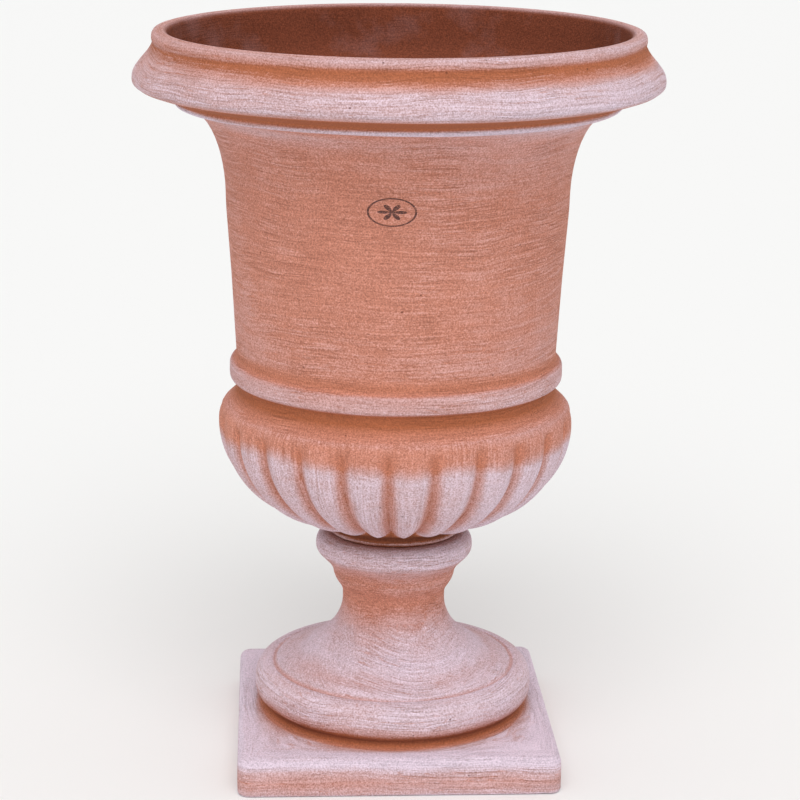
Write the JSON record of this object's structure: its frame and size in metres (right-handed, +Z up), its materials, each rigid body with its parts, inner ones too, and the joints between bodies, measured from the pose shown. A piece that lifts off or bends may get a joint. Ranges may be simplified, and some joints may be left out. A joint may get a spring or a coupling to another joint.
{
  "type": "footed urn",
  "caption": "Krater-shaped garden urn in fired clay: a flared, rolled-rim bowl with a lobed belly, standing dry on a hollow turned pedestal with a square plinth, with a drain hole.",
  "frame": {"origin": "centre of the plinth's underside, on the ground", "axes": "+Z up the urn's own axis; X and Y along the sides of the square plinth, with -Y towards its front"},
  "size_m": [0.4, 0.4, 0.565],
  "materials": {
    "washed_terracotta_foot": "unglazed fired clay, brushed with a thin whitish lime wash, matt",
    "washed_terracotta_bowl": "unglazed fired clay, brushed with a thin whitish lime wash outside and bare inside, matt"
  },
  "bodies": {
    "foot": {"foot": "washed_terracotta_foot"},
    "bowl": {"bowl": "washed_terracotta_bowl"}
  },
  "joints": [
    {"name": "bowl_lift", "type": "slide", "parent": "foot", "child": "bowl", "axis": [0, 0, 1], "range_m": [0, 0.1]}
  ]
}
